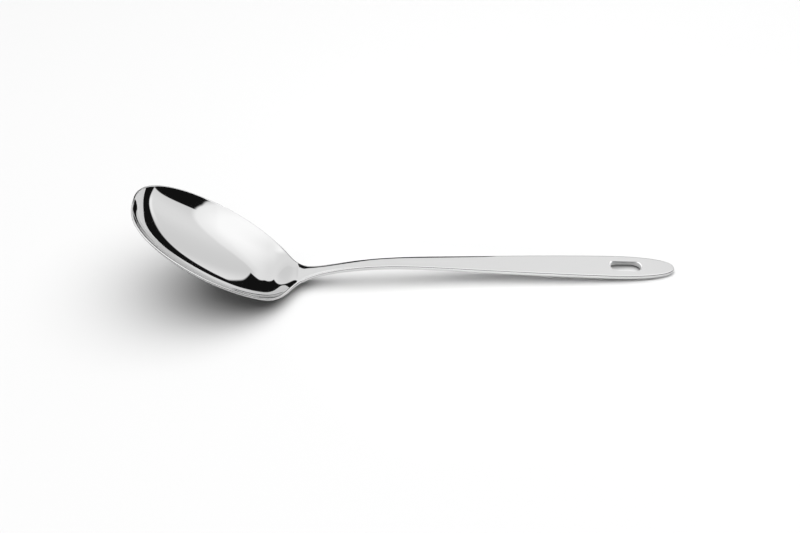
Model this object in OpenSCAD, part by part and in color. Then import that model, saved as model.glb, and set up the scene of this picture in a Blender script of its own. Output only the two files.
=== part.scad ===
// Serving spoon of polished stainless steel: an oval bowl, a curved neck and a flat handle with a hanging slot.
// The spoon lies on a table. X runs from the tip of the bowl to the end of the handle, Z is up.
// The origin is on the table, under the middle of the spoon.

/* [Overall] */
// Length in plan, from the tip of the bowl to the end of the handle
total_len = 319; // [285:1:380]

/* [Bowl] */
// Width of the bowl at its widest place
bowl_w = 78.6; // [60:0.2:90]
// Length in plan of the bowl's oval
bowl_len = 84; // [74:0.5:92]
// Depth of the hollow below the rim, straight down in the middle
bowl_depth = 16; // [11:0.5:22]
// Thickness of the bowl's wall
bowl_wall = 1.2; // [1:0.1:2.4]
// Fall of the rim from the tip towards the neck, in degrees
rim_tilt = 33.4; // [28:0.2:38]

/* [Neck] */
// Width of the neck at its narrowest place
neck_w = 7.3; // [5:0.1:12]
// Distance from the tip to where the bowl's piece ends and the handle's begins
neck_x = 114; // [106:1:120]
// Rise of the neck behind the bowl, in degrees
neck_rise = 14.6; // [8:0.2:18]
// Distance from the tip to the middle of the upward bend behind the bowl
heel_x = 84; // [78:0.5:88]
// Length of the upward bend behind the bowl
heel_len = 32; // [24:1:44]
// Distance from the tip to the middle of the downward bend of the neck
crest_x = 123; // [118:1:136]
// Length of the downward bend of the neck
crest_len = 112; // [90:1:120]

/* [Handle] */
// Width of the handle at its widest place
handle_w = 20.4; // [16:0.1:26]
// Thickness of the handle
handle_t = 3; // [2.6:0.1:4.5]
// Length of the rounded end of the handle
end_len = 42; // [30:1:56]
// Radius of the rounding along the edges
edge_r = 0.9; // [0.3:0.1:1.2]

/* [Hanging slot] */
// Length of the slot
slot_len = 19; // [14:0.2:24]
// Width of the slot
slot_w = 10.4; // [7:0.2:11.4]
// Distance from the end of the handle to the slot
slot_gap = 20.4; // [16:0.2:30]
// Width of the bevel pressed round the slot
slot_bevel = 0.7; // [0.2:0.1:0.9]

/* [Hidden] */
steel = [0.80, 0.81, 0.82];

// Shape of the outline: the oval's power and how much blunter its tip is than its other end, the softness of that
// end at the neck, and the power of the handle's end
oval_power = 0.342;
blunt_share = 0.088;
heel_soft_share = 0.106;
end_power = 2.45;
// How fast the hollow gets shallower where the bowl gets narrower, and the share of its section that rises with the
// fourth power, which leaves the floor flat and the walls steep
hollow_power = 1.32;
steep_share = 0.5;
// Where the handle starts to widen, behind the bowl's oval
taper_gap = 20.5;
// How far before the end of the handle its full width is reached
full_width_gap = 27;
// Length over which the wall of the bowl thickens to the handle's thickness
thicken_len = 52;
// Overrun of the slot's cutter past both faces
overrun = 2;
// Steps of the skin: along the bowl and the handle, across them and round a quarter of an edge
bowl_steps = 42;
handle_steps = 46;
bowl_cross_steps = 14;
handle_cross_steps = 4;
edge_steps = 3;
quarter = 90;
slot_facets = 64;

taper_from = bowl_len + taper_gap;
taper_to = total_len - full_width_gap;
slot_x = total_len - slot_gap - slot_len / 2;

// A smooth step from 0 to 1, and its running sum along a bend of length len centred at mid
function clamped(t) = min(max(t, 0), 1);
function smooth(t) = let (c = clamped(t)) c * c * (3 - 2 * c);
function bend(s, mid, len) =
    let (t = (s - mid) / len + 1 / 2, c = clamped(t))
    len * (c * c * c - c * c * c * c / 2 + max(t - 1, 0));

// Half the width that the bowl adds at distance s from the tip; its end at the neck fades out softly
function oval(s) =
    let (
        x = 2 * s / bowl_len - 1,
        room = 1 - x * x,
        soft = x < 0 ? max(room, 0) : heel_soft_share * ln(1 + exp(room / heel_soft_share))
    )
    bowl_w / 2 * pow(soft, oval_power / (1 + blunt_share * x));

// Half the width of the neck and handle, with the rounded end
function stem(s) =
    let (
        wide = (neck_w + (handle_w - neck_w) * smooth((s - taper_from) / (taper_to - taper_from))) / 2,
        u = clamped((s - total_len + end_len) / end_len)
    )
    wide * pow(max(1 - pow(u, end_power), 0), 1 / end_power);

// Half the width of the whole spoon. The neck's own width fades in behind the tip
function half_width(s) = oval(s) * (1 - neck_w / bowl_w) + stem(s) * pow(clamped(2 * s / bowl_len), 1 / 2);

// Height of the rim and of the handle's top before the handle's fall is taken off, from the tip's level
function rise(s) = -tan(rim_tilt) * s + (tan(rim_tilt) + tan(neck_rise)) * bend(s, heel_x, heel_len);

// Depth of the hollow at distance s, v of the way from the middle to the edge
function hollow(s, v) =
    bowl_depth * pow(2 * oval(s) / bowl_w, hollow_power) * (1 - (1 - steep_share) * v * v - steep_share * v * v * v * v);

// Thickness of the steel
function thickness(s) = bowl_wall + (handle_t - bowl_wall) * smooth(1 + (s - neck_x) / thicken_len);

// The handle falls as far as brings its end down to the level of the bowl's underside
function bowl_low(s) = rise(s) - hollow(s, 0) - thickness(s);
low = min([for (i = [0 : bowl_steps]) bowl_low(neck_x * i / bowl_steps)]);
fall = (rise(total_len) - handle_t - low) / bend(total_len, crest_x, crest_len);
handle_drop = atan(fall - tan(neck_rise));
function top(s, v) = rise(s) - fall * bend(s, crest_x, crest_len) - hollow(s, v);

function unit(a) = a / norm(a);

// A point of the top, and the direction square to it there
probe = edge_r / 4;
function top_point(x, y) = [x, y, top(x, y / max(half_width(x), probe))];
function square_to(x, y) =
    let (
        along = top_point(x + probe, y) - top_point(x - probe, y),
        w = max(half_width(x), probe),
        across = top_point(x, min(y + probe, w)) - top_point(x, max(y - probe, -w))
    )
    unit(cross(along, across));

// Points of the outline on the far side, from the tip to the joint and from the joint to the end
bowl_path = [for (i = [0 : bowl_steps]) neck_x * (1 - cos(quarter * i / bowl_steps))];
handle_path = [for (i = [0 : handle_steps]) neck_x + (total_len - neck_x) * sin(quarter * i / handle_steps)];

// Direction out of the outline at point i of a path, in plan
function outward(path, i) =
    let (
        last = len(path) - 1,
        a = path[max(i - 1, 0)],
        b = path[min(i + 1, last)],
        step = [b - a, half_width(b) - half_width(a)]
    )
    half_width(path[i]) < probe ? [path[i] < neck_x ? -1 : 1, 0, 0] : unit([-step[1], step[0], 0]);

// One rib of the skin: a ring of points round the section at point i of a path.
// It runs over the top from the near edge to the far one, down the far edge, back underneath and up the near edge.
function rib(path, i, cross_steps) =
    let (
        s = path[i],
        w = half_width(s),
        joint = s == neck_x,
        t = thickness(s),
        r = min(edge_r, t / 2),
        out = joint ? [0, 1, 0] : outward(path, i),
        up = joint ? [0, 0, 1] : square_to(s - out[0] * r, w - out[1] * r),
        rim = unit(out - up * (out * up)),
        corner = top_point(s, w),
        inset = corner - rim * r,
        far = [for (q = [1 : 2 * edge_steps])
            let (
                first = q <= edge_steps,
                turn = quarter * (first ? q : q - 1) / edge_steps
            )
            first
                ? inset + rim * r * sin(turn) - up * r * (1 - cos(turn))
                : inset + rim * r * sin(quarter * (2 * edge_steps - q) / edge_steps)
                    - up * (t - r + r * cos(quarter * (2 * edge_steps - q) / edge_steps))
        ],
        x = inset[0],
        half = inset[1],
        pole = w < probe,
        over = [for (j = [0 : cross_steps])
            let (y = half * (2 * j / cross_steps - 1))
            pole || j == 0 || j == cross_steps ? [x, y, inset[2]] : top_point(x, y)
        ],
        under = [for (j = [1 : cross_steps - 1])
            let (p = over[cross_steps - j])
            pole ? far[2 * edge_steps - 1] : p - t * (joint ? [0, 0, 1] : square_to(p[0], p[1]))
        ],
        near = [for (q = [2 * edge_steps - 1 : -1 : 0])
            let (p = far[q]) [p[0], -p[1], p[2]]
        ]
    )
    concat(over, far, under, near);

bowl_ribs = [for (i = [0 : bowl_steps]) rib(bowl_path, i, bowl_cross_steps)];
handle_ribs = [for (i = [0 : handle_steps]) rib(handle_path, i, handle_cross_steps)];

// The spoon's box from the tip to the end and its lowest point, which set where the origin lies
tip_x = min([for (p = bowl_ribs[0]) p[0]]);
end_x = max([for (p = handle_ribs[handle_steps]) p[0]]);
floor_z = min([for (ring = bowl_ribs) for (p = ring) p[2]]);
origin = [(tip_x + end_x) / 2, 0, floor_z];

function distinct(a, b, c) = a != b && b != c && c != a;

// A closed skin over a list of ribs. The rib at the joint closes it with a flat face, the other end is a point
module skin(ribs, joint_first) {
    n = len(ribs[0]);
    last = len(ribs) - 1;
    points = [for (r = ribs) each r];
    sides = [
        for (i = [0 : last - 1], j = [0 : n - 1])
        let (k = (j + 1) % n, a = i * n)
        for (face = [[a + j, a + k, a + n + j], [a + k, a + n + k, a + n + j]])
        if (distinct(points[face[0]], points[face[1]], points[face[2]])) face
    ];
    middle = [neck_x, 0, top(neck_x, 0) - handle_t / 2];
    ring = joint_first ? 0 : last * n;
    joint_face = [
        for (j = [0 : n - 1])
        let (k = (j + 1) % n)
        joint_first ? [ring + k, ring + j, len(points)] : [ring + j, ring + k, len(points)]
    ];
    polyhedron(concat(points, [middle]), concat(sides, joint_face), convexity = 6);
}

// Cutter for the hanging slot, square to the handle's top, with a bevel at both faces
module slot_cutter() {
    straight = slot_len - slot_w;
    deep = handle_t + overrun;
    wide = slot_w / 2 + slot_bevel + overrun;
    for (side = [-1, 1]) translate([side * straight / 2, 0, 0]) {
        translate([0, 0, -deep]) cylinder(d = slot_w, h = deep + overrun, $fn = slot_facets);
        translate([0, 0, -slot_bevel])
            cylinder(r1 = slot_w / 2, r2 = wide, h = wide - slot_w / 2, $fn = slot_facets);
        translate([0, 0, slot_bevel - handle_t - wide + slot_w / 2])
            cylinder(r1 = wide, r2 = slot_w / 2, h = wide - slot_w / 2, $fn = slot_facets);
    }
    translate([-straight / 2, -slot_w / 2, -deep]) cube([straight, slot_w, deep + overrun]);
    for (face = [0, 1])
        translate([0, 0, -face * handle_t]) mirror([0, 0, face]) rotate([quarter, 0, quarter])
            translate([0, 0, -straight / 2]) linear_extrude(straight)
                polygon([
                    [-slot_w / 2, -slot_bevel],
                    [slot_w / 2, -slot_bevel],
                    [wide, wide - slot_w / 2 - slot_bevel],
                    [-wide, wide - slot_w / 2 - slot_bevel]
                ]);
}

module bowl() {
    color(steel) translate(-origin) skin(bowl_ribs, false);
}

module handle() {
    color(steel) translate(-origin) difference() {
        skin(handle_ribs, true);
        translate([slot_x, 0, top(slot_x, 0)]) rotate([0, handle_drop, 0]) slot_cutter();
    }
}

bowl();
handle();
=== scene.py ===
"""A serving spoon of mirror-polished stainless steel, lying on a pale floor in a soft, bright studio."""

import math

import bpy
from mathutils import Matrix, Vector

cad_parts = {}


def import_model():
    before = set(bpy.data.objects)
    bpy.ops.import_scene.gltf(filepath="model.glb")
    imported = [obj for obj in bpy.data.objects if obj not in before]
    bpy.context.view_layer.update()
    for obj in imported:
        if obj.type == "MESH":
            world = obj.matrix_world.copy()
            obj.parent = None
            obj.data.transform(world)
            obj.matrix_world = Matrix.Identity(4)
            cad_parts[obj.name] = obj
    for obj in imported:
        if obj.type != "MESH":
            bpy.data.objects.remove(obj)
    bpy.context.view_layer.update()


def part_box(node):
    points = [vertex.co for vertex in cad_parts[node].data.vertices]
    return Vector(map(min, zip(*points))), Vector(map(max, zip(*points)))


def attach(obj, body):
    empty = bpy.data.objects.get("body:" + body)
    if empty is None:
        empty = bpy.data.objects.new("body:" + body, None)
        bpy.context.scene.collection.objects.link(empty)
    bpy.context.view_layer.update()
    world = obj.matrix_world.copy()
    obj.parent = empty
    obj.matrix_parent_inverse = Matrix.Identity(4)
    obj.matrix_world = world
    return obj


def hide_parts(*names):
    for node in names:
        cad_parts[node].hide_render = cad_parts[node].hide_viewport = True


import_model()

bl_info = {
    "name": "Serving Spoon",
    "version": (1, 0, 0),
    "blender": (4, 5, 0),
    "location": "3D View > Sidebar > Spoon",
    "description": "Makes a pressed and polished serving spoon, its studio and its camera",
    "category": "Object",
}

MM = 0.001
BODY = "root"
QUARTER = math.pi / 2


def linear(sheet_colour):
    """Turn an sRGB hex colour, such as "#c8c9ca", into linear red, green and blue."""
    parts = [int(sheet_colour[i:i + 2], 16) / 255 for i in (1, 3, 5)]
    return tuple(p / 12.92 if p <= 0.04045 else ((p + 0.055) / 1.055) ** 2.4 for p in parts)


# Properties that a user would change


def length(name, description, millimetres):
    return bpy.props.FloatProperty(
        name=name, description=description, default=millimetres * MM, min=0, unit="LENGTH", precision=5
    )


def angle(name, description, degrees):
    return bpy.props.FloatProperty(
        name=name, description=description, default=math.radians(degrees), subtype="ANGLE", unit="ROTATION"
    )


def share(name, description, default):
    return bpy.props.FloatProperty(name=name, description=description, default=default, precision=4)


class SpoonSizes(bpy.types.PropertyGroup):
    """Real sizes of the spoon, measured along it from the tip of the bowl"""

    total_len: length("Length", "Length in plan, from the tip of the bowl to the end of the handle", 319)
    bowl_w: length("Bowl width", "Width of the bowl at its widest place", 78.6)
    bowl_len: length("Bowl length", "Length in plan of the bowl's oval", 84)
    bowl_depth: length("Bowl depth", "Depth of the hollow below the rim, straight down in the middle", 15.74)
    bowl_wall: length("Wall", "Thickness of the bowl's wall", 1.2)
    rim_tilt: angle("Rim tilt", "Fall of the rim from the tip towards the neck", 33.4)
    oval_power: share("Oval", "Power that rounds the bowl's outline", 0.342)
    blunt_share: share("Bluntness", "How much blunter the tip is than the bowl's other end", 0.088)
    heel_soft: share("Heel softness", "How softly the oval runs out into the neck", 0.106)
    hollow_power: share("Hollow", "How fast the hollow gets shallower where the bowl gets narrower", 1.32)
    steep_share: share("Steep walls", "Share of the hollow's section that leaves the floor flat", 0.5)
    tip_slope: share("Tip slope", "Steepest fall of the bowl's wall from the rim at the tip", 2.5)
    heel_start: length("Heel start", "Distance from the tip to where the hollow starts to close", 58)
    heel_fade: length("Heel fade", "Length over which the hollow takes the heel's power", 24)
    walls_start: length("Walls fade", "Distance from the tip to where its walls get less steep", 51.6)
    walls_fade: length("Walls length", "Length over which they do", 20)
    hollow_end: length("Hollow end", "Distance from the tip to where the hollow has closed", 90.8)
    heel_power: share("Heel hollow", "The hollow's power near its end", 2.1)
    heel_steep: share("Heel walls", "Share of steep walls near the hollow's end", 0.35)
    close_power: share("Closing", "How suddenly the hollow closes at its end", 22)
    close_round: share("Closing round", "How round the hollow's end is", 0.55)
    neck_w: length("Neck width", "Width of the neck at its narrowest place", 7.3)
    roll: length("Rolled edges", "How far the neck's top falls towards its edges behind the bowl", 0.55)
    roll_x: length("Roll start", "Distance from the tip to where the edges start to fall", 89.5)
    roll_len: length("Roll length", "Length over which that fall grows", 5.9)
    roll_fade: length("Roll fade", "Distance from the tip at which only the handle's fall is left", 136.5)
    roll_share: share("Handle's roll", "Share of the fall that the handle keeps", 0.14)
    roll_power: share("Roll shape", "Power that keeps the fall near the edges", 5)
    twist: angle("Twist", "Slight turn of the handle about its length, its far edge higher", 1.5)
    roll_end: length("Roll end", "Distance from the tip to where the handle's top has become flat", 232)
    neck_x: length("Joint", "Distance from the tip to where the handle's piece begins", 114)
    neck_rise: angle("Neck rise", "Rise of the neck behind the bowl", 14.6)
    heel_x: length("Heel", "Distance from the tip to the middle of the upward bend behind the bowl", 84)
    heel_len: length("Heel length", "Length of that upward bend", 32)
    crest_x: length("Crest", "Distance from the tip to the middle of the downward bend of the neck", 123)
    crest_len: length("Crest length", "Length of that downward bend", 112)
    thicken_len: length("Thickening", "Length over which the wall grows to the handle's thickness", 52)
    taper_gap: length("Taper start", "Distance behind the oval at which the handle starts to widen", 20.5)
    full_width_gap: length("Taper end", "Distance before the end at which the full width is reached", 27)
    handle_w: length("Handle width", "Width of the handle at its widest place", 20.4)
    handle_t: length("Handle thickness", "Thickness of the handle", 3)
    end_len: length("Rounded end", "Length of the rounded end of the handle", 42)
    end_power: share("End shape", "Power that rounds the handle's end", 2.45)
    edge_r: length("Edge radius", "Radius of the rounding along the edges", 0.9)
    slot_len: length("Slot length", "Length of the hanging slot", 19)
    slot_w: length("Slot width", "Width of the hanging slot", 10.4)
    slot_gap: length("Slot place", "Distance from the end of the handle to the slot", 20.4)
    slot_lip: length("Slot lip", "Radius of the rounding pressed round the slot", 0.45)


class SteelFinish(bpy.types.PropertyGroup):
    """Colour and polish of the steel"""

    colour: bpy.props.FloatVectorProperty(
        name="Steel", description="Colour of the polished steel", subtype="COLOR", default=linear("#dadada")
    )
    polish: share("Polish", "Roughness of the polished steel", 0.035)
    # Colour of the slot's wall: darker than the steel, as painted shade in the slot
    blanked_and_painted_shade: bpy.props.FloatVectorProperty(
        name="Blanked wall", description="Colour of the slot's punched wall", subtype="COLOR",
        default=linear("#808080"),
    )
    blanked_rough: share("Blanked roughness", "Roughness of the slot's punched wall", 0.4)
    mark_depth: length("Polish marks", "Depth of the marks that the polishing wheel leaves", 0.0006)
    mark_spacing: length("Mark spacing", "Spacing across those marks", 0.9)


class StudioLight(bpy.types.PropertyGroup):
    """Brightness of the studio's bright and dark surfaces, where 1 is white paper"""

    ceiling: share("Ceiling", "Brightness of the softbox overhead", 1.36)
    ceiling_far: share("Far ceiling", "Brightness of the softbox's far side, behind the spoon", 0.98)
    screen: share("Screen", "Brightness of the pale screen beside the spoon", 0.84)
    gap: share("Gaps", "Brightness of the dark gaps between them", 0.008)
    key: share("Key light", "Watts of the soft light that throws the shadow", 110.0)
    strip: share("Strip light", "Watts of the low strip that fills the handle's shadow", 0.055)
    fill: share("Fill", "Light of the room on the floor", 0.12)
    fill_back: share("Back fill", "Light on the floor from low behind the spoon", 0.25)
    paper: share("Paper", "Reflectance of the floor's paper in the steel", 0.53)
    paper_seen: share("Paper seen", "The same as the camera exposes it", 0.62)
    paper_under: share("Paper under", "Share of that level left for light that the paper throws on", 0.3)


# The spoon's shape: each formula below works on plain numbers and on fields of a node tree


# A number so large that it turns any share above zero into one
FAR = 1e6
# The step over which slopes are taken, and a length that stands for almost nothing
PROBE = 0.2 * MM
TINY = PROBE / FAR
# Places along the spoon at which its lowest and highest points are looked for
SAMPLES = 400
# How suddenly the limited slope at the tip goes over into the hollow
LIMIT_POWER = 4


class Field:
    """A socket of a node tree that Python's own signs work on, by adding the Math node for each"""

    def __init__(self, tree, socket):
        self.tree = tree
        self.socket = socket

    def math(self, operation, *others):
        node = self.tree.nodes.new("ShaderNodeMath")
        node.operation = operation
        for place, value in enumerate((self, *others)):
            if isinstance(value, Field):
                self.tree.links.new(value.socket, node.inputs[place])
            else:
                node.inputs[place].default_value = value
        return Field(self.tree, node.outputs[0])

    def constant(self, number):
        node = self.tree.nodes.new("ShaderNodeValue")
        node.outputs[0].default_value = number
        return Field(self.tree, node.outputs[0])

    def __add__(self, other):
        return self.math("ADD", other)

    def __sub__(self, other):
        return self.math("SUBTRACT", other)

    def __mul__(self, other):
        return self.math("MULTIPLY", other)

    def __truediv__(self, other):
        return self.math("DIVIDE", other)

    def __pow__(self, other):
        return self.math("POWER", other)

    def __neg__(self):
        return self.math("MULTIPLY", -1)

    def __radd__(self, other):
        return self.math("ADD", other)

    def __rmul__(self, other):
        return self.math("MULTIPLY", other)

    def __rsub__(self, other):
        return self.constant(other).math("SUBTRACT", self)

    def __rtruediv__(self, other):
        return self.constant(other).math("DIVIDE", self)


def applied(name, plain, *values):
    """Work out a function of numbers, or add its Math node when one of them is a field."""
    fields = [v for v in values if isinstance(v, Field)]
    if not fields:
        return plain(*values)
    first = values[0] if isinstance(values[0], Field) else fields[0].constant(values[0])
    return first.math(name, *values[1:])


def smaller(a, b):
    return applied("MINIMUM", min, a, b)


def larger(a, b):
    return applied("MAXIMUM", max, a, b)


def root(a):
    return applied("SQRT", math.sqrt, a)


def tangent(a):
    return applied("TANGENT", math.tan, a)


def sine(a):
    return applied("SINE", math.sin, a)


def cosine(a):
    return applied("COSINE", math.cos, a)


def exponential(a):
    return applied("EXPONENT", math.exp, a)


def logarithm(a):
    return applied("LOGARITHM", math.log, a, math.e)


def clamped(t):
    return smaller(larger(t, 0), 1)


def smooth(t):
    c = clamped(t)
    return c * c * (3 - 2 * c)


def bend(s, middle, reach):
    """Running sum of a smooth step from 0 to 1: a line that turns from level to a slope of 1."""
    t = (s - middle) / reach + 0.5
    c = clamped(t)
    return reach * (c * c * c - c * c * c * c / 2 + larger(t - 1, 0))


class Shape:
    """The spoon's outline and heights at a distance s from the tip and y from the middle"""

    def __init__(self, sizes, fall=0):
        self.size = sizes
        self.fall = fall

    def oval(self, s):
        """Half the width that the bowl adds; its end at the neck fades out softly."""
        z = self.size
        x = 2 * s / z.bowl_len - 1
        room = 1 - x * x
        soft = z.heel_soft * logarithm(1 + exponential(room / z.heel_soft))
        at_heel = clamped(x * FAR)
        rounded = larger(room, 0) * (1 - at_heel) + soft * at_heel
        return z.bowl_w / 2 * rounded ** (z.oval_power / (1 + z.blunt_share * x))

    def stem(self, s):
        """Half the width of the neck and handle, with the rounded end."""
        z = self.size
        start = z.bowl_len + z.taper_gap
        stop = z.total_len - z.full_width_gap
        wide = (z.neck_w + (z.handle_w - z.neck_w) * smooth((s - start) / (stop - start))) / 2
        u = clamped((s - z.total_len + z.end_len) / z.end_len)
        return wide * larger(1 - u ** z.end_power, 0) ** (1 / z.end_power)

    def half_width(self, s):
        z = self.size
        return self.oval(s) * (1 - z.neck_w / z.bowl_w) + self.stem(s) * root(clamped(2 * s / z.bowl_len))

    def rise(self, s):
        """Height of the rim and of the handle's top before the handle's fall is taken off."""
        z = self.size
        tilt = tangent(z.rim_tilt)
        return (tilt + tangent(z.neck_rise)) * bend(s, z.heel_x, z.heel_len) - tilt * s

    def plain_hollow(self, s):
        """Depth of the hollow in the middle, as the underside follows it."""
        z = self.size
        return z.bowl_depth * (2 * self.oval(s) / z.bowl_w) ** z.hollow_power + TINY

    def closed_hollow(self, s):
        """The same on top, where the hollow closes sooner, so that the heel is left thick."""
        z = self.size
        heel = smooth((s - z.heel_start) / z.heel_fade)
        narrowing = (2 * self.oval(s) / z.bowl_w) ** (z.heel_power - z.hollow_power)
        closing = clamped((s - z.heel_start) / (z.hollow_end - z.heel_start)) ** z.close_power
        return self.plain_hollow(s) * (1 - heel + heel * narrowing) * (1 - closing) ** z.close_round + TINY

    def hollow(self, s, v):
        """Depth of the hollow, v of the way from the middle to the edge; its slope at the tip is limited."""
        z = self.size
        steep = z.steep_share + (z.heel_steep - z.steep_share) * smooth((s - z.walls_start) / z.walls_fade)
        section = 1 - v * v * (1 - steep + steep * v * v)
        steepest = larger(z.tip_slope * s, TINY)
        limited = (self.closed_hollow(s) ** -LIMIT_POWER + steepest ** -LIMIT_POWER) ** (-1 / LIMIT_POWER)
        return limited * section

    def heel(self, s):
        """How much thicker the middle is than the wall, between the hollow and the underside."""
        return self.plain_hollow(s) - self.closed_hollow(s)

    def thickness(self, s):
        z = self.size
        return z.bowl_wall + (z.handle_t - z.bowl_wall) * smooth(1 + (s - z.neck_x) / z.thicken_len)

    def ridge(self, s):
        z = self.size
        return self.rise(s) - self.fall * bend(s, z.crest_x, z.crest_len)

    def rolled(self, s):
        """How far the top of the neck and handle falls towards its edges."""
        z = self.size
        kept = z.roll_share + (1 - z.roll_share) * smooth((z.roll_fade - s) / z.heel_len)
        return z.roll * kept * smooth((s - z.roll_x) / z.roll_len) * smooth((z.roll_end - s) / z.heel_len)

    def top(self, s, y):
        z = self.size
        v = y / larger(self.half_width(s), PROBE)
        turned = y * tangent(z.twist) * smooth((s - z.heel_x) / z.heel_len * 2)
        return self.ridge(s) - self.hollow(s, v) + turned


def settled_shape(sizes):
    """The shape with the fall that brings the handle's end down to the level of the bowl's underside."""
    level = Shape(sizes)
    steps = [sizes.neck_x * i / SAMPLES for i in range(SAMPLES + 1)]
    low = min(level.rise(s) - level.hollow(s, 0) - level.heel(s) - level.thickness(s) for s in steps)
    drop = level.rise(sizes.total_len) - sizes.handle_t - low
    return Shape(sizes, drop / bend(sizes.total_len, sizes.crest_x, sizes.crest_len))


def placement(shape):
    """Where the tip's level lies in the frame: the joint's plane and the crest of the handle give it."""
    handle_low, handle_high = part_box("handle")
    z = shape.size
    reach = z.total_len - z.neck_x
    crest = max(shape.ridge(z.neck_x + reach * i / SAMPLES) for i in range(SAMPLES + 1))
    return Vector((handle_low[0] - z.neck_x, 0, handle_high[2] - crest))


# Node helpers


def add_node(tree, kind, inputs=None, **settings):
    """Add a node with its settings; inputs gives, by name or number, a value or the socket to link from."""
    node = tree.nodes.new(kind)
    for name, value in settings.items():
        setattr(node, name, value)
    for name, value in (inputs or {}).items():
        if isinstance(value, Field):
            value = value.socket
        if isinstance(value, bpy.types.NodeSocket):
            tree.links.new(value, node.inputs[name])
        else:
            node.inputs[name].default_value = value
    return node


def light_path(tree, answer):
    """What the Light Path node says of the ray that asks."""
    return Field(tree, add_node(tree, "ShaderNodeLightPath").outputs[answer])


def new_tree(name, numbers, others, outputs):
    """Start a tree with its named inputs and outputs; give it and its input node."""
    tree = bpy.data.node_groups.new(name, "GeometryNodeTree")
    for number in numbers:
        tree.interface.new_socket(number, in_out="INPUT", socket_type="NodeSocketFloat")
    for other, kind in others.items():
        tree.interface.new_socket(other, in_out="INPUT", socket_type=kind)
    for output, kind in outputs.items():
        tree.interface.new_socket(output, in_out="OUTPUT", socket_type=kind)
    return tree, add_node(tree, "NodeGroupInput")


class FieldSizes:
    """The named inputs of a tree, as fields"""

    def __init__(self, tree, inputs, names):
        for name in names:
            setattr(self, name, Field(tree, inputs.outputs[name]))


SIZE_NAMES = [name for name in SpoonSizes.__annotations__ if not name.startswith("slot_")]
ANSWERS = ("height", "half_width", "ridge", "thickness", "rolled", "heel")


def shape_tree():
    """The tree of the shape's formulas, which gives its answers at a distance s and a place y across."""
    answers = {name: "NodeSocketFloat" for name in ANSWERS}
    tree, inputs = new_tree("spoon_shape", [*SIZE_NAMES, "fall", "s", "y"], {}, answers)
    shape = Shape(FieldSizes(tree, inputs, SIZE_NAMES), Field(tree, inputs.outputs["fall"]))
    s, y = Field(tree, inputs.outputs["s"]), Field(tree, inputs.outputs["y"])
    along = (shape.half_width(s), shape.ridge(s), shape.thickness(s), shape.rolled(s), shape.heel(s))
    results = dict(zip(ANSWERS, (shape.top(s, y), *along)))
    add_node(tree, "NodeGroupOutput", results)
    return tree


class AskedShape:
    """The same shape inside another tree: each question adds one node of the shape's tree"""

    def __init__(self, tree, inputs, asked):
        self.tree = tree
        self.inputs = inputs
        self.asked = asked

    def ask(self, answer, s, y=0):
        known = {name: self.inputs.outputs[name] for name in [*SIZE_NAMES, "fall"]}
        node = add_node(self.tree, "GeometryNodeGroup", {**known, "s": s, "y": y}, node_tree=self.asked)
        return Field(self.tree, node.outputs[answer])

    def top(self, s, y):
        return self.ask("height", s, y)

    def half_width(self, s):
        return self.ask("half_width", s)

    def ridge(self, s):
        return self.ask("ridge", s)

    def thickness(self, s):
        return self.ask("thickness", s)

    def rolled(self, s):
        return self.ask("rolled", s)

    def heel(self, s):
        return self.ask("heel", s)


def dot(a, b):
    return a[0] * b[0] + a[1] * b[1] + a[2] * b[2]


def unit(a):
    size = root(dot(a, a))
    return tuple(part / size for part in a)


def square_to(shape, x, y):
    """Direction square to the top at a point, from the slopes along and across it."""
    along = shape.top(x + PROBE, y) - shape.top(x - PROBE, y)
    across = shape.top(x, y + PROBE) - shape.top(x, y - PROBE)
    return unit((-along, -across, 2 * PROBE))


# Steps of one ring: across each face, where CLUSTER gathers them towards the edges, and round each edge
CROSS_STEPS = 112
CLUSTER = 0.7
ARC_STEPS = 7
EDGE_STEPS = 2 * ARC_STEPS + 1
RING_STEPS = 2 * (CROSS_STEPS + EDGE_STEPS)
# Share of the path over which the outline's direction is taken, and the gap that is welded shut
PATH_STEP = 0.0015
WELD = 0.0002 * MM


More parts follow.
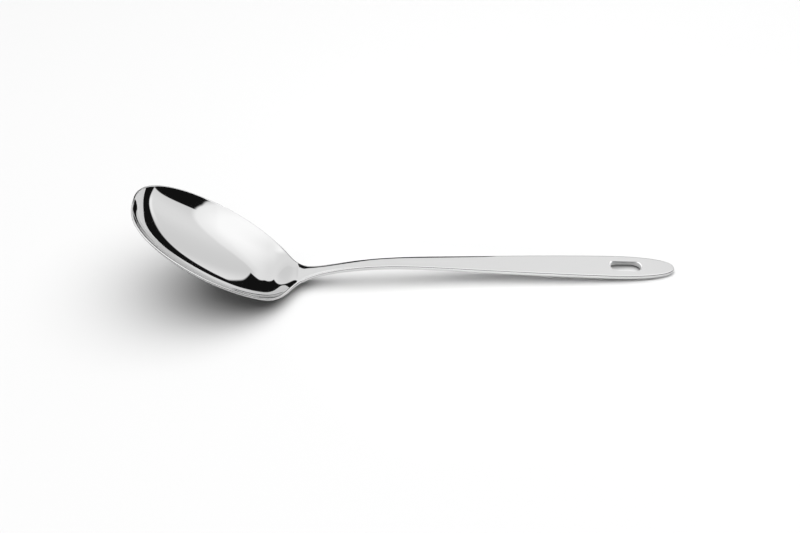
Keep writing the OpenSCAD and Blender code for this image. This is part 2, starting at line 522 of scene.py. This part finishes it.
def skin_tree():
    """The tree that lays a closed skin of rings over the spoon's top, round its edges and underneath."""
    numbers = [*SIZE_NAMES, "fall", "place_x", "place_z", "part"]
    others = {"rows": "NodeSocketInt", "steel": "NodeSocketMaterial"}
    tree, inputs = new_tree("spoon_skin", numbers, others, {"Geometry": "NodeSocketGeometry"})
    sizes = FieldSizes(tree, inputs, numbers)
    place_x, place_z, part = sizes.place_x, sizes.place_z, sizes.part
    shape = AskedShape(tree, inputs, shape_tree())
    rows = Field(tree, inputs.outputs["rows"])

    grid = add_node(
        tree, "GeometryNodeMeshGrid",
        {"Size X": 1, "Size Y": 1, "Vertices X": rows + 2, "Vertices Y": RING_STEPS + 1},
    )
    position = add_node(tree, "GeometryNodeInputPosition").outputs[0]
    spot = add_node(tree, "ShaderNodeSeparateXYZ", {0: position})
    row = (Field(tree, spot.outputs[0]) + 0.5) * (rows + 1)
    step = (Field(tree, spot.outputs[1]) + 0.5) * RING_STEPS

    # The path runs from the tip or the handle's end, part 0 or 1, to the joint; one row more closes the joint
    u = clamped(row / rows)
    closing = clamped((row - rows) * 2 - 0.5)

    def path(t):
        turn = t * QUARTER
        bowl = sizes.neck_x * (1 - cosine(turn))
        handle = sizes.total_len - (sizes.total_len - sizes.neck_x) * (1 - cosine(turn))
        return bowl * (1 - part) + handle * part

    s = path(u)
    wide = shape.half_width(s)
    before, after = path(clamped(u - PATH_STEP)), path(clamped(u + PATH_STEP))
    heading = part * 2 - 1
    run = (after - before) * -heading
    grow = (shape.half_width(after) - shape.half_width(before)) * -heading
    out = unit((-grow, run * clamped(wide * FAR), s.constant(0)))

    # The way round the ring: over the top, down the far edge, underneath and up the near edge
    over = clamped(step / CROSS_STEPS)
    far_edge = clamped((step - CROSS_STEPS) / EDGE_STEPS)
    under = clamped((step - CROSS_STEPS - EDGE_STEPS) / CROSS_STEPS)
    near_edge = clamped((step - 2 * CROSS_STEPS - EDGE_STEPS) / EDGE_STEPS)
    level = 2 * (over - under) - 1
    across = sine(level * QUARTER) * CLUSTER + level * (1 - CLUSTER)
    lap = (far_edge - near_edge) * EDGE_STEPS
    first = clamped(lap / ARC_STEPS) * QUARTER
    last = clamped((lap - ARC_STEPS - 1) / ARC_STEPS) * QUARTER

    thick = shape.thickness(s)
    radius = smaller(sizes.edge_r, thick / 2)
    proud = radius * (sine(first) + cosine(last) - 1)
    deep = radius * (1 - cosine(first) + sine(last)) + (thick - 2 * radius) * clamped(lap - ARC_STEPS)

    # The ring's edges are set in by the radius, square to the outline and along the top
    edge_up = square_to(shape, s - out[0] * radius, wide - out[1] * radius)
    lean = dot(out, edge_up)
    rim_y = (out[1] - edge_up[1] * lean) * clamped(wide * FAR)
    rim = unit((out[0] - edge_up[0] * lean, rim_y, -edge_up[2] * lean))
    base_x = s - rim[0] * radius
    base_y = (wide - rim[1] * radius) * across
    up = square_to(shape, base_x, base_y)
    side = clamped(across * FAR) * 2 - 1
    # The rolled edges take their fall off the top alone: it shrinks down the edge to nothing underneath
    fall = shape.rolled(s) * (across * across) ** (sizes.roll_power / 2) * (1 - lap / EDGE_STEPS)
    # Under the heel the ring hangs lower in the middle
    fall = fall + shape.heel(s) * (1 - across * across) * (lap / EDGE_STEPS)
    point = (
        base_x + rim[0] * proud - up[0] * deep,
        base_y + rim[1] * side * proud - up[1] * deep,
        shape.top(base_x, base_y) + rim[2] * proud - up[2] * deep - fall,
    )
    middle = (s, s.constant(0), shape.ridge(s) - thick / 2)
    placed = [point[i] * (1 - closing) + middle[i] * closing for i in range(3)]
    place = add_node(
        tree, "ShaderNodeCombineXYZ",
        {0: placed[0] + place_x, 1: placed[1], 2: placed[2] + place_z},
    )
    moved = add_node(
        tree, "GeometryNodeSetPosition", {"Geometry": grid.outputs["Mesh"], "Position": place.outputs[0]}
    )
    joined = add_node(tree, "GeometryNodeMergeByDistance", {"Geometry": moved.outputs[0], "Distance": WELD})
    real = add_node(tree, "GeometryNodeRealizeInstances", {"Geometry": joined.outputs[0]})
    done = add_node(
        tree, "GeometryNodeSetMaterial", {"Geometry": real.outputs[0], "Material": inputs.outputs["steel"]}
    )
    add_node(tree, "NodeGroupOutput", {0: done.outputs[0]})
    return tree


def plain_mesh(holder, name):
    """Replace an object's live modifiers with their result."""
    evaluated = holder.evaluated_get(bpy.context.evaluated_depsgraph_get())
    mesh = bpy.data.meshes.new_from_object(evaluated)
    mesh.name = name
    holder.modifiers.clear()
    old, holder.data = holder.data, mesh
    bpy.data.meshes.remove(old)
    return mesh


def new_object(name, mesh):
    piece = bpy.data.objects.new(name, mesh)
    bpy.context.scene.collection.objects.link(piece)
    return piece


def skinned(name, part, rows, steel):
    """Grow one piece of the spoon with the skin's tree; part 0 is the bowl and part 1 the handle."""
    sizes = bpy.context.scene.spoon_sizes
    shape = settled_shape(sizes)
    place = placement(shape)
    piece = new_object(name, bpy.data.meshes.new(name))
    modifier = piece.modifiers.new("skin", "NODES")
    modifier.node_group = bpy.data.node_groups.get("spoon_skin") or skin_tree()
    values = {key: getattr(sizes, key) for key in SIZE_NAMES}
    values.update(
        fall=shape.fall, place_x=place.x, place_z=place.z, part=float(part), rows=rows, steel=steel
    )
    for item in modifier.node_group.interface.items_tree:
        if item.in_out == "INPUT":
            modifier[item.identifier] = values[item.name]
    plain_mesh(piece, name)
    return piece, shape, place


def point_outwards(mesh):
    """Turn a closed mesh's faces outwards if its volume comes out negative."""
    mesh.calc_loop_triangles()
    volume = 0
    for triangle in mesh.loop_triangles:
        a, b, c = (mesh.vertices[i].co for i in triangle.vertices)
        volume += a.dot(b.cross(c))
    if volume < 0:
        mesh.flip_normals()


# Faces that meet at more than this angle keep a sharp edge
CREASE = math.radians(32)


def smoothed(mesh):
    mesh.shade_smooth()
    mesh.set_sharp_from_angle(angle=CREASE)


def handed_over(piece, node):
    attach(piece, BODY)
    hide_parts(node)


# Steps of the slot's lip and of each round end, and how level a face's normal is where it counts as upright
LIP_STEPS = 6
FIRST_LIP_STEP = 0.6
ROUND_STEPS = 40
UPRIGHT = 0.5


def slot_middle(sizes):
    """Distance from the tip to the middle of the slot."""
    return sizes.total_len - sizes.slot_gap - sizes.slot_len / 2


def slot_outline(sizes, outset):
    """Points of the slot's outline, a straight stretch with round ends, grown by outset."""
    straight = (sizes.slot_len - sizes.slot_w) / 2
    radius = sizes.slot_w / 2 + outset
    points = []
    for end in (1, -1):
        for i in range(ROUND_STEPS + 1):
            turn = math.pi * (i / ROUND_STEPS - 0.5)
            points.append((end * (straight + radius * math.cos(turn)), end * radius * math.sin(turn)))
    return points


def slot_cutter(sizes, shape, place):
    """A closed cutter for the slot: straight inside, with a rounded lip towards both faces."""
    lip, thick = sizes.slot_lip, sizes.handle_t
    overrun = lip / 4
    half = []
    for i in range(LIP_STEPS + 1):
        turn = QUARTER * (1 - (i + FIRST_LIP_STEP) / (LIP_STEPS + FIRST_LIP_STEP))
        half.append((lip * (1 - math.cos(turn)), lip * (1 - math.sin(turn))))
    flare = (half[0][0] - half[1][0]) / (half[1][1] - half[0][1])
    half.insert(0, (half[0][0] + (half[0][1] + overrun) * flare, -overrun))
    section = half + [(outset, thick - depth) for outset, depth in reversed(half)]
    rings = [[(x, y, -depth) for x, y in slot_outline(sizes, outset)] for outset, depth in section]
    count = len(rings[0])
    points = [point for ring in rings for point in ring]
    faces = [tuple(range(count)), tuple(reversed(range(len(points) - count, len(points))))]
    for r in range(len(rings) - 1):
        for i in range(count):
            k = (i + 1) % count
            faces.append((r * count + i, (r + 1) * count + i, (r + 1) * count + k, r * count + k))
    mesh = bpy.data.meshes.new("slot_cutter")
    mesh.from_pydata(points, [], faces)
    middle = slot_middle(sizes)
    slope = math.atan((shape.top(middle - PROBE, 0) - shape.top(middle + PROBE, 0)) / (2 * PROBE))
    at = Vector((middle, 0, shape.top(middle, 0))) + place
    mesh.transform(Matrix.Translation(at) @ Matrix.Rotation(slope, 4, "Y"))
    point_outwards(mesh)
    return new_object("slot_cutter", mesh)


def mark_blanked_and_painted_shade(mesh, sizes, place):
    """Mark the upright wall of the slot, which the press leaves rougher than the polished faces; the steel
    also darkens it there as painted shade.
    """
    mark = mesh.attributes.new("blanked_and_painted_shade", "FLOAT", "FACE")
    middle = slot_middle(sizes) + place.x
    reach_x, reach_y = sizes.slot_len / 2 + sizes.slot_lip, sizes.slot_w / 2 + sizes.slot_lip
    for face in mesh.polygons:
        near = abs(face.center.x - middle) < reach_x and abs(face.center.y) < reach_y
        mark.data[face.index].value = float(near and abs(face.normal.z) < UPRIGHT)


# The steel


# Wheel marks: how far their pattern is stretched along the spoon, and how fine and strong it is
MARK_STRETCH = 0.06
MARK_DETAIL = 3
MARK_ROUGHNESS = 0.6
MARK_STRENGTH = 0.3
# Rubbed places: their spacing, the levels of noise between which the polish gets duller, and its roughness
# there as shares of the finish's own
RUBBED_SPACING = 18 * MM
RUBBED_DETAIL = 4
RUBBED_FROM = 0.4
RUBBED_TO = 0.75
BRIGHTEST_SHARE = 0.6
DULLEST_SHARE = 1.5


def steel_material():
    """Stainless steel, pressed cold from sheet and polished to a mirror with felt wheels and fine compound:
    it reflects the studio sharply, and only faint lengthwise wheel marks and rubbed places soften it.
    The wall of the punched slot is left by the blanking press and only tumbled, so it is matt; its darker
    colour there is painted shade."""
    finish = bpy.context.scene.spoon_finish
    steel = bpy.data.materials.new("mirror_polished_stainless_steel")
    steel.use_nodes = True
    tree = steel.node_tree
    shader = tree.nodes["Principled BSDF"]
    shader.inputs["Metallic"].default_value = 1
    place = add_node(tree, "ShaderNodeTexCoord").outputs["Object"]
    # Wheel marks: long along the spoon, fine across it
    along = add_node(tree, "ShaderNodeMapping", {"Vector": place, "Scale": (MARK_STRETCH, 1, 1)})
    marks = add_node(
        tree, "ShaderNodeTexNoise",
        {
            "Vector": along.outputs[0], "Scale": 1 / finish.mark_spacing,
            "Detail": MARK_DETAIL, "Roughness": MARK_ROUGHNESS,
        },
    )
    # Rubbed places: where the spoon has been wiped and laid down, the polish is a little duller
    rubbed = add_node(
        tree, "ShaderNodeTexNoise", {"Vector": place, "Scale": 1 / RUBBED_SPACING, "Detail": RUBBED_DETAIL}
    )
    dull = add_node(
        tree, "ShaderNodeMapRange",
        {
            "Value": rubbed.outputs[0], "From Min": RUBBED_FROM, "From Max": RUBBED_TO,
            "To Min": BRIGHTEST_SHARE, "To Max": DULLEST_SHARE,
        },
    )
    # The slot's wall: rougher from the press, and darker in colour as painted shade
    blanked_and_painted_shade = Field(tree, add_node(tree, "ShaderNodeAttribute", attribute_name="blanked_and_painted_shade").outputs["Fac"])
    polish = Field(tree, dull.outputs[0]) * finish.polish
    rough = polish + blanked_and_painted_shade * (finish.blanked_rough - polish)
    tree.links.new(rough.socket, shader.inputs["Roughness"])
    # Painted shade: the steel's colour is darkened on the slot's wall
    colour = add_node(
        tree, "ShaderNodeMix", {0: blanked_and_painted_shade, 6: (*finish.colour, 1), 7: (*finish.blanked_and_painted_shade, 1)}, data_type="RGBA"
    )
    tree.links.new(colour.outputs[2], shader.inputs["Base Color"])
    bump = add_node(
        tree, "ShaderNodeBump",
        {"Height": marks.outputs[0], "Distance": finish.mark_depth, "Strength": MARK_STRENGTH},
    )
    tree.links.new(bump.outputs[0], shader.inputs["Normal"])
    return steel


def the_steel():
    return bpy.data.materials.get("mirror_polished_stainless_steel") or steel_material()


class SPOON_OT_bowl(bpy.types.Operator):
    """Make the oval bowl with the neck behind it"""

    bl_idname = "spoon.bowl"
    bl_label = "Bowl"

    ROWS = 230

    def execute(self, context):
        piece, _, _ = skinned("spoon_bowl", 0, self.ROWS, the_steel())
        point_outwards(piece.data)
        smoothed(piece.data)
        handed_over(piece, "bowl")
        return {"FINISHED"}


class SPOON_OT_handle(bpy.types.Operator):
    """Make the flat handle with its rounded end and the hanging slot"""

    bl_idname = "spoon.handle"
    bl_label = "Handle"

    ROWS = 300

    def execute(self, context):
        piece, shape, place = skinned("spoon_handle", 1, self.ROWS, the_steel())
        point_outwards(piece.data)
        cutter = slot_cutter(context.scene.spoon_sizes, shape, place)
        cut = piece.modifiers.new("slot", "BOOLEAN")
        cut.operation = "DIFFERENCE"
        cut.solver = "EXACT"
        cut.object = cutter
        plain_mesh(piece, "spoon_handle")
        used = cutter.data
        bpy.data.objects.remove(cutter)
        bpy.data.meshes.remove(used)
        smoothed(piece.data)
        even = piece.modifiers.new("even", "WEIGHTED_NORMAL")
        even.keep_sharp = True
        plain_mesh(piece, "spoon_handle")
        # The mark makes the slot's wall rougher and darkens it as painted shade
        mark_blanked_and_painted_shade(piece.data, context.scene.spoon_sizes, place)
        handed_over(piece, "handle")
        return {"FINISHED"}


# The studio


# The camera: its angles in degrees, its focus in pixels of the picture and its place in millimetres
CAMERA_LIFT = 35.987
CAMERA_TURN = 3.136
CAMERA_FOCUS_PX = 1178.6
PHOTO_W_PX = 800
SENSOR = 36
CAMERA_PLACE = (-38.578, -571.017, 425.280)

# The floor and the lamps, in metres and degrees
FLOOR_REACH = 900 * MM
PAPER_ROUGHNESS = 0.9
PAPER_TOOTH = 2 * MM
PAPER_TOOTH_DEPTH = 0.02 * MM
PAPER_DETAIL = 3
KEY_SIZE = 4.0
KEY_DISTANCE = 2.0
KEY_BEARING = 90
KEY_LIFT = 85
STRIP_SIZE = (130 * MM, 30 * MM)
STRIP_PLACE = (60 * MM, -200 * MM, 70 * MM)
STRIP_AIM = (60 * MM, 0, 0)
STRIP_SPREAD = math.radians(60)

# The surfaces that the steel mirrors. Each pair is where an edge starts and stops, in degrees: heights above
# the horizon, bearings from straight behind the spoon towards the handle's end. The softbox ends in a sheer
# part, the wall stands to the left of the screen, and the hem is a brighter strip low on the screen
SOFTBOX_RIGHT = (0, 85)
SOFTBOX_LEFT = (-80, -56)
SOFTBOX_EDGE = (33, 36)
SOFTBOX_EDGE_SHARE = 0.6
SOFTBOX_SHEER = (35, 46)
ZENITH = (50, 86)
ZENITH_SHARE = 0.45
SCREEN_BRIGHT = (30, 56)
SCREEN_BRIGHT_GAIN = 0.14
SCREEN_END = (62, 88)
SCREEN_END_LOSS = 0.1
WALL_LEFT = (-30, -15)
WALL_RIGHT = (22, 30)
WALL_GAIN = 0.18
HEM_BOTTOM = (7, 8)
HEM_TOP = (9, 11)
HEM_LEFT = (34, 46)
HEM_RIGHT = (58, 70)
HEM_GAIN = 0.2
# The dark gaps lean or bow outwards above LEAN_FROM, and their tops dip towards one end
LEAN_FROM = 8
FRONT_GAP_LEFT = (78.4, 79.6)
FRONT_GAP_BOW = 0.016
FRONT_GAP_RIGHT = (-135, -125)
FRONT_GAP_TOP = (33.8, 35.2)
FRONT_GAP_DIP = (104, 118)
FRONT_GAP_DIP_BY = 1.6
BACK_GAP_LEFT = (-27.9, -26.3)
BACK_GAP_LEFT_LEAN = 0.52
BACK_GAP_RIGHT = (19.4, 20.6)
BACK_GAP_RIGHT_LEAN = 0.35
BACK_GAP_TOP = (33.4, 34.6)
BACK_GAP_DIP = (8, 18)
BACK_GAP_DIP_BY = 3.4
LOW_GAP_LEFT = (-20, -18)
LOW_GAP_TOP = (6.4, 7.4)
LOW_GAP_CORNER = (18, 27)
LOW_GAP_CORNER_BY = 2.6
HORIZON = (2.4, 3.2)
BACK_FILL_TOP = (25, 50)


def studio_world():
    """The studio as the steel mirrors it: a softbox overhead, a pale screen behind to the right, a pale wall
    to the left, and dark gaps between them. The camera itself sees plain white."""
    light = bpy.context.scene.spoon_light
    world = bpy.data.worlds.new("studio")
    world.use_nodes = True
    tree = world.node_tree
    tree.nodes.clear()
    ray = add_node(tree, "ShaderNodeTexCoord").outputs["Generated"]
    part = add_node(tree, "ShaderNodeSeparateXYZ", {0: ray})
    x, y, z = (Field(tree, part.outputs[i]) for i in range(3))
    # Degrees above the horizon, and degrees from straight behind the spoon towards the handle's end
    height = z.math("ARCSINE") * math.degrees(1)
    bearing = x.math("ARCTAN2", y) * math.degrees(1)

    def past(value, start, stop):
        node = add_node(
            tree, "ShaderNodeMapRange", {"Value": value, "From Min": start, "From Max": stop},
            interpolation_type="SMOOTHSTEP",
        )
        return Field(tree, node.outputs[0])

    def before(value, start, stop):
        return 1 - past(value, start, stop)

    # Straight overhead the two sides of the softbox meet in one level
    side = larger(past(bearing, *SOFTBOX_RIGHT), before(bearing, *SOFTBOX_LEFT))
    zenith = past(height, *ZENITH)
    side = side * (1 - zenith) + zenith * ZENITH_SHARE
    ceiling = light.ceiling_far + side * (light.ceiling - light.ceiling_far)
    screen = light.screen + past(bearing, *SCREEN_BRIGHT) * SCREEN_BRIGHT_GAIN
    screen = screen - past(bearing, *SCREEN_END) * SCREEN_END_LOSS
    screen = screen + before(bearing, *WALL_RIGHT) * past(bearing, *WALL_LEFT) * WALL_GAIN
    hem = past(height, *HEM_BOTTOM) * before(height, *HEM_TOP)
    hem = hem * past(bearing, *HEM_LEFT) * before(bearing, *HEM_RIGHT)
    reach = past(height, *SOFTBOX_EDGE) * SOFTBOX_EDGE_SHARE
    reach = reach + past(height, *SOFTBOX_SHEER) * (1 - SOFTBOX_EDGE_SHARE)
    room = (screen + hem * HEM_GAIN) * (1 - reach) + ceiling * reach

    lean = height - LEAN_FROM
    front_gap = past(bearing - lean * lean * FRONT_GAP_BOW, *FRONT_GAP_LEFT)
    front_gap = front_gap + before(bearing, *FRONT_GAP_RIGHT)
    front_dip = past(bearing, *FRONT_GAP_DIP) * FRONT_GAP_DIP_BY
    front_gap = front_gap * before(height + front_dip, *FRONT_GAP_TOP)
    back_gap = past(bearing - lean * BACK_GAP_LEFT_LEAN, *BACK_GAP_LEFT)
    back_gap = back_gap * before(bearing - lean * BACK_GAP_RIGHT_LEAN, *BACK_GAP_RIGHT)
    back_dip = past(bearing, *BACK_GAP_DIP) * BACK_GAP_DIP_BY
    back_gap = back_gap * before(height + back_dip, *BACK_GAP_TOP)
    corner = before(bearing, *LOW_GAP_CORNER) * LOW_GAP_CORNER_BY
    low_gap = before(height - corner, *LOW_GAP_TOP) * past(bearing, *LOW_GAP_LEFT)
    horizon = before(height, *HORIZON)
    dark = larger(larger(front_gap, back_gap), larger(low_gap, horizon))
    bright = room * (1 - dark) + light.gap

    # The camera sees white, the steel sees the studio, and the floor gets its own share of room light
    seen = light_path(tree, "Is Camera Ray")
    from_floor = clamped(light_path(tree, "Diffuse Depth"))
    fill = light.fill + larger(y, 0) * before(height, *BACK_FILL_TOP) * light.fill_back
    strength = (bright * (1 - from_floor) + fill * from_floor) * (1 - seen) + seen
    glow = add_node(tree, "ShaderNodeBackground", {"Color": (1, 1, 1, 1), "Strength": strength})
    add_node(tree, "ShaderNodeOutputWorld", {0: glow.outputs[0]})
    bpy.context.scene.world = world


def floor_material():
    """White sweep paper, matt and evenly lit: the eye sees plain white with the spoon's soft shadow on it.
    What the camera sees of it is exposed to white; the steel mirrors it at the paper's own level."""
    light = bpy.context.scene.spoon_light
    paper = bpy.data.materials.new("white_sweep_paper")
    paper.use_nodes = True
    tree = paper.node_tree
    shader = tree.nodes["Principled BSDF"]
    shader.inputs["Roughness"].default_value = PAPER_ROUGHNESS
    shader.inputs["Specular IOR Level"].default_value = 0
    place = add_node(tree, "ShaderNodeTexCoord").outputs["Object"]
    tooth = add_node(
        tree, "ShaderNodeTexNoise", {"Vector": place, "Scale": 1 / PAPER_TOOTH, "Detail": PAPER_DETAIL}
    )
    bump = add_node(tree, "ShaderNodeBump", {"Height": tooth.outputs[0], "Distance": PAPER_TOOTH_DEPTH})
    tree.links.new(bump.outputs[0], shader.inputs["Normal"])
    seen = light_path(tree, "Is Camera Ray")
    from_floor = clamped(light_path(tree, "Diffuse Depth"))
    level = light.paper + seen * (light.paper_seen - light.paper)
    level = level * (1 - from_floor * (1 - light.paper_under))
    tree.links.new(
        add_node(tree, "ShaderNodeCombineColor", {0: level, 1: level, 2: level}).outputs[0],
        shader.inputs["Base Color"],
    )
    return paper


def soft_lamp(name, power, shape, size, place, aim):
    """A soft lamp that neither the camera nor the steel sees."""
    lamp = bpy.data.lights.new(name, "AREA")
    lamp.shape = shape
    lamp.size = size[0]
    lamp.size_y = size[-1]
    lamp.energy = power
    holder = new_object(name, lamp)
    holder.location = place
    holder.rotation_euler = (place - aim).to_track_quat("Z", "Y").to_euler()
    holder.visible_camera = False
    holder.visible_glossy = False
    return holder


def lamps(floor):
    """A broad soft key, high over the spoon, and a low strip before the handle, which lightens its shadow."""
    light = bpy.context.scene.spoon_light
    turn, lift = math.radians(KEY_BEARING), math.radians(KEY_LIFT)
    way = Vector((math.sin(turn) * math.cos(lift), math.cos(turn) * math.cos(lift), math.sin(lift)))
    soft_lamp("key", light.key, "DISK", (KEY_SIZE,), way * KEY_DISTANCE, Vector((0, 0, 0)))
    strip = soft_lamp("strip", light.strip, "RECTANGLE", STRIP_SIZE, Vector(STRIP_PLACE), Vector(STRIP_AIM))
    strip.data.spread = STRIP_SPREAD
    # The strip lights the floor alone
    lit = bpy.data.collections.new("lit_by_strip")
    lit.objects.link(floor)
    strip.light_linking.receiver_collection = lit


class SPOON_OT_stage(bpy.types.Operator):
    """Make the pale floor, the studio light and the camera"""

    bl_idname = "spoon.stage"
    bl_label = "Stage"

    def execute(self, context):
        studio_world()
        mesh = bpy.data.meshes.new("floor")
        reach = FLOOR_REACH
        corners = [(-reach, -reach, 0), (reach, -reach, 0), (reach, reach, 0), (-reach, reach, 0)]
        mesh.from_pydata(corners, [], [(0, 1, 2, 3)])
        mesh.materials.append(floor_material())
        floor = new_object("floor", mesh)
        lamps(floor)

        camera = bpy.data.cameras.new("camera")
        camera.sensor_width = SENSOR
        camera.lens = CAMERA_FOCUS_PX * SENSOR / PHOTO_W_PX
        holder = new_object("camera", camera)
        lift, turn = math.radians(CAMERA_LIFT), math.radians(CAMERA_TURN)
        holder.rotation_euler = (QUARTER - lift, 0, -turn)
        holder.location = Vector(CAMERA_PLACE) * MM
        context.scene.camera = holder
        context.scene.view_settings.view_transform = "Standard"
        return {"FINISHED"}


class SPOON_PT_panel(bpy.types.Panel):
    """The spoon's pieces in the sidebar"""

    bl_label = "Serving Spoon"
    bl_idname = "SPOON_PT_panel"
    bl_space_type = "VIEW_3D"
    bl_region_type = "UI"
    bl_category = "Spoon"

    def draw(self, context):
        scene = context.scene
        for group in (scene.spoon_sizes, scene.spoon_finish, scene.spoon_light):
            box = self.layout.box()
            for name in group.__annotations__:
                box.prop(group, name)
        for piece in PIECES:
            self.layout.operator(piece.bl_idname)


PIECES = (SPOON_OT_bowl, SPOON_OT_handle, SPOON_OT_stage)
GROUPS = {"spoon_sizes": SpoonSizes, "spoon_finish": SteelFinish, "spoon_light": StudioLight}


def register():
    for group in GROUPS.values():
        bpy.utils.register_class(group)
    for name, group in GROUPS.items():
        setattr(bpy.types.Scene, name, bpy.props.PointerProperty(type=group))
    for piece in PIECES:
        bpy.utils.register_class(piece)
    bpy.utils.register_class(SPOON_PT_panel)


def unregister():
    bpy.utils.unregister_class(SPOON_PT_panel)
    for piece in PIECES:
        bpy.utils.unregister_class(piece)
    for name in GROUPS:
        delattr(bpy.types.Scene, name)
    for group in GROUPS.values():
        bpy.utils.unregister_class(group)


def main():
    register()
    bpy.ops.spoon.stage()
    bpy.ops.spoon.bowl()
    bpy.ops.spoon.handle()


if __name__ == "__main__":
    main()
